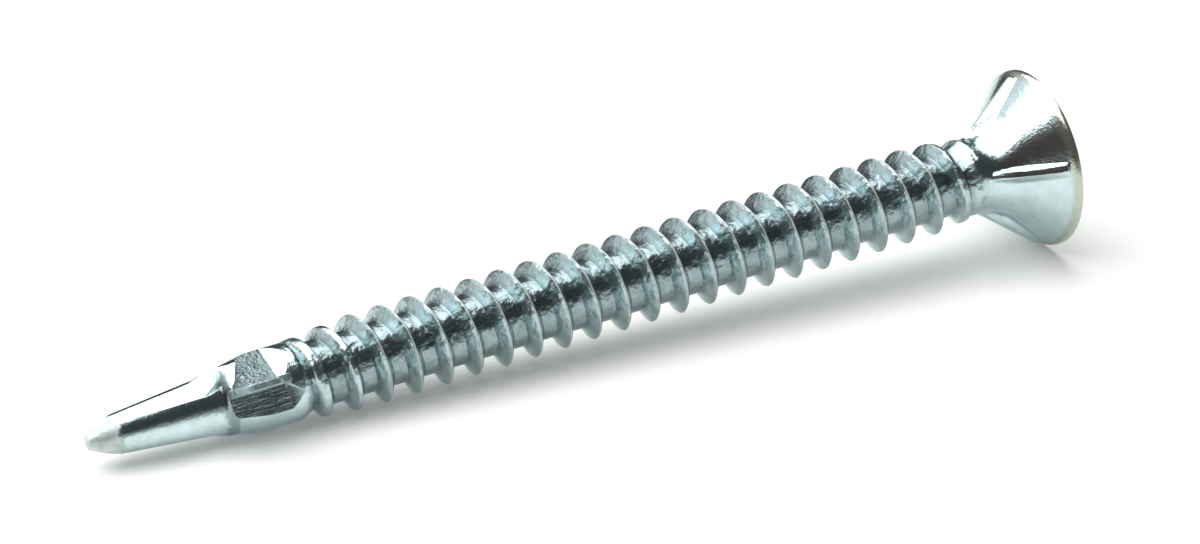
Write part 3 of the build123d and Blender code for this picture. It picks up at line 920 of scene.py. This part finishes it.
# %% [markdown]
# ## Table
# A sheet of white paper. Plain white paper would have to be lit very brightly to come out
# white, and would wash out the screw, so it also glows a little where it is seen or mirrored.
# Farther out, and where the screw mirrors the table behind it, it becomes an even emission:
# white for the camera, grey for the metal, which is what gives bright zinc its darks.

# %% Table
TABLE_HALF = 2                             # metres
PAPER, PAPER_ROUGHNESS, GLOW = (0.82, 0.825, 0.80, 1), 0.9, 0.17
WHITE = (1, 1, 1, 1)
FAR = (0.11, 0.16)                         # metres from the middle
BEHIND = (0.008, 0.02)
BESIDE = (-0.014, -0.006), (0.031, 0.026)  # the strip along the thread that the flanks mirror
MIRRORED = (0.35, 0.38, 0.38, 1), (0.07, 0.08, 0.08, 1)
MIRRORED_FADE = (-0.03, 0.008)             # from the lighter grey in front to the darker one


def stage_mesh(name, points, faces):
    piece = mesh_object(name, points, faces)
    return piece


corners = [(x * TABLE_HALF, y * TABLE_HALF, 0) for x, y in ((-1, -1), (1, -1), (1, 1), (-1, 1))]
table_top = stage_mesh("table", corners, [(0, 1, 2, 3)])
paper = bpy.data.materials.new("white_paper")
tree = fresh(paper)
ray = add(tree, "ShaderNodeLightPath").outputs
seen = maths(tree, "MAXIMUM", ray["Is Camera Ray"], ray["Is Glossy Ray"])
sheet = add(tree, "ShaderNodeBsdfPrincipled", {"Base Color": PAPER, "Roughness": PAPER_ROUGHNESS,
                                               "Specular IOR Level": 0.0, "Emission Color": WHITE,
                                               "Emission Strength": maths(tree, "MULTIPLY", seen, GLOW)})
spot = add(tree, "ShaderNodeNewGeometry").outputs["Position"]
spot_at = add(tree, "ShaderNodeSeparateXYZ", {0: spot}).outputs
distance = add(tree, "ShaderNodeVectorMath", {0: spot}, operation="LENGTH").outputs["Value"]
behind = maths(tree, "MULTIPLY", mapped(tree, spot_at["Y"], *BEHIND), band(tree, spot_at["X"], *BESIDE))
behind = maths(tree, "MULTIPLY", behind, ray["Is Glossy Ray"])
away = maths(tree, "MAXIMUM", mapped(tree, distance, *FAR), behind)
mirrored = mixed(tree, mapped(tree, spot_at["Y"], *MIRRORED_FADE), *MIRRORED)
beyond = add(tree, "ShaderNodeEmission", {"Color": mixed(tree, ray["Is Camera Ray"], mirrored, WHITE)})
ground = add(tree, "ShaderNodeMixShader", {0: away, 1: sheet.outputs[0], 2: beyond.outputs[0]})
add(tree, "ShaderNodeOutputMaterial", {"Surface": ground.outputs[0]})
table_top.data.materials.append(paper)
print("table", [round(side, 2) for side in table_top.dimensions], "m")

# %% [markdown]
# ## Room
# Plated metal shows its surroundings more than itself, so the room is what shapes it. It is dark
# in front and behind, but paler low down in front at the head's end and grey higher up behind
# on the left, and two bright windows lie on that side, one high and one low. Walls and lamps
# could be modelled, but a world that only depends on direction does the same in far less time.

# %% Room
FRONT, FRONT_LEFT, FRONT_LOW = (0.045, 0.05, 0.05, 1), (0.065, 0.045, 0.04, 1), (0.62, 0.66, 0.66, 1)
WALL, WALL_RAISED = (0.05, 0.06, 0.06, 1), (0.40, 0.44, 0.42, 1)
LEFT, BACK = (0.1, -0.5), (-0.1, 0.35)     # where in a direction's X or Y each part sets in
LOW, LOW_RIGHT, LOW_FALL = (0.34, 0.0), (-0.4, 0.1), 1.35
HIGH, HIGH_LEFT = (0.12, 0.28), (0.15, -0.1)
WINDOWS = [                    # direction, cosines from edge to full, colour
    ((-0.62, 0.55, 0.5), (0.84, 0.92), (1.0, 1.0, 1.0, 1)),
    ((-0.83, 0.55, 0.08), (0.94, 0.98), (0.8, 0.85, 0.86, 1)),
]
world = bpy.data.worlds.new("room")
bpy.context.scene.world = world
tree = fresh(world)
direction = add(tree, "ShaderNodeTexCoord").outputs["Generated"]
towards = add(tree, "ShaderNodeSeparateXYZ", {0: direction}).outputs
low = maths(tree, "MULTIPLY", mapped(tree, towards["Z"], *LOW), mapped(tree, towards["X"], *LOW_RIGHT))
front = mixed(tree, mapped(tree, towards["X"], *LEFT), FRONT, FRONT_LEFT)
front = mixed(tree, maths(tree, "POWER", low, LOW_FALL), front, FRONT_LOW)
raised = maths(tree, "MULTIPLY", mapped(tree, towards["Z"], *HIGH), mapped(tree, towards["X"], *HIGH_LEFT))
wall = mixed(tree, raised, WALL, WALL_RAISED)
room = mixed(tree, mapped(tree, towards["Y"], *BACK), front, wall)
for aim, (edge, full), light in WINDOWS:
    cosine = add(tree, "ShaderNodeVectorMath", {0: direction, 1: Vector(aim).normalized()},
                 operation="DOT_PRODUCT").outputs["Value"]
    room = mixed(tree, mapped(tree, cosine, edge, full), room, light)
shown = mixed(tree, add(tree, "ShaderNodeLightPath").outputs["Is Camera Ray"], room, WHITE)
background = add(tree, "ShaderNodeBackground", {"Color": shown, "Strength": 1.0})
add(tree, "ShaderNodeOutputWorld", {"Surface": background.outputs[0]})
print("room with", len(WINDOWS), "windows,", len(tree.nodes), "nodes")

# %% [markdown]
# ## Softbox
# One large soft lamp above, behind and a little to the left gives the long highlight on the
# shank and a soft shadow towards the viewer. Several small lamps would each leave a spark on
# every crest.

# %% Softbox
def soft_light(name, where, size, watts):
    data = bpy.data.lights.new(name, "AREA")
    data.shape, data.energy = "RECTANGLE", watts
    data.size, data.size_y = size
    lamp = bpy.data.objects.new(name, data)
    bpy.context.scene.collection.objects.link(lamp)
    lamp.location = where
    lamp.rotation_mode = "QUATERNION"
    lamp.rotation_quaternion = (-Vector(where)).to_track_quat("-Z", "Y")
    lamp.visible_camera = False
    return lamp


SOFTBOX_AT, SOFTBOX_SIZE, SOFTBOX_WATTS = (-0.12, 0.12, 0.48), (0.84, 0.70), 5.2   # metres
softbox = soft_light("softbox", SOFTBOX_AT, SOFTBOX_SIZE, SOFTBOX_WATTS)
print("softbox", round(softbox.location.length, 2), "m away,", softbox.data.energy, "W")

# %% [markdown]
# ## Camera
# The camera looks down on the screw from the near side with a long lens, which keeps the thread
# from fanning out. It could be aimed at the middle of the frame, but it is placed from a point
# on the screw's own axis, so that it stays with the screw.

# %% Camera
AIM = 30.11                    # height on the screw's axis, in millimetres
FROM_AIM = (-125.6, -219.72, 120.2)        # from there to the camera
LOOK = (0.4401, 0.7888, -0.4291)           # nearly back along that line
LENS, SENSOR = 174.62, 36.0
look = Vector(LOOK).normalized()
right = look.cross(Vector((0, 0, 1))).normalized()
up = right.cross(look)
view = Matrix((right, up, -look)).transposed().to_4x4()
view.translation = tip + axis * AIM * MM + Vector(FROM_AIM) * MM
camera = bpy.data.objects.new("camera", bpy.data.cameras.new("camera"))
bpy.context.scene.collection.objects.link(camera)
camera.matrix_world = view
camera.data.lens, camera.data.sensor_width = LENS, SENSOR
camera.data.clip_start, camera.data.clip_end = 0.01, 10.0
bpy.context.scene.camera = camera
bpy.context.scene.view_settings.view_transform = "Standard"
print("camera", [round(x, 3) for x in view.translation], "lens", LENS, "mm")
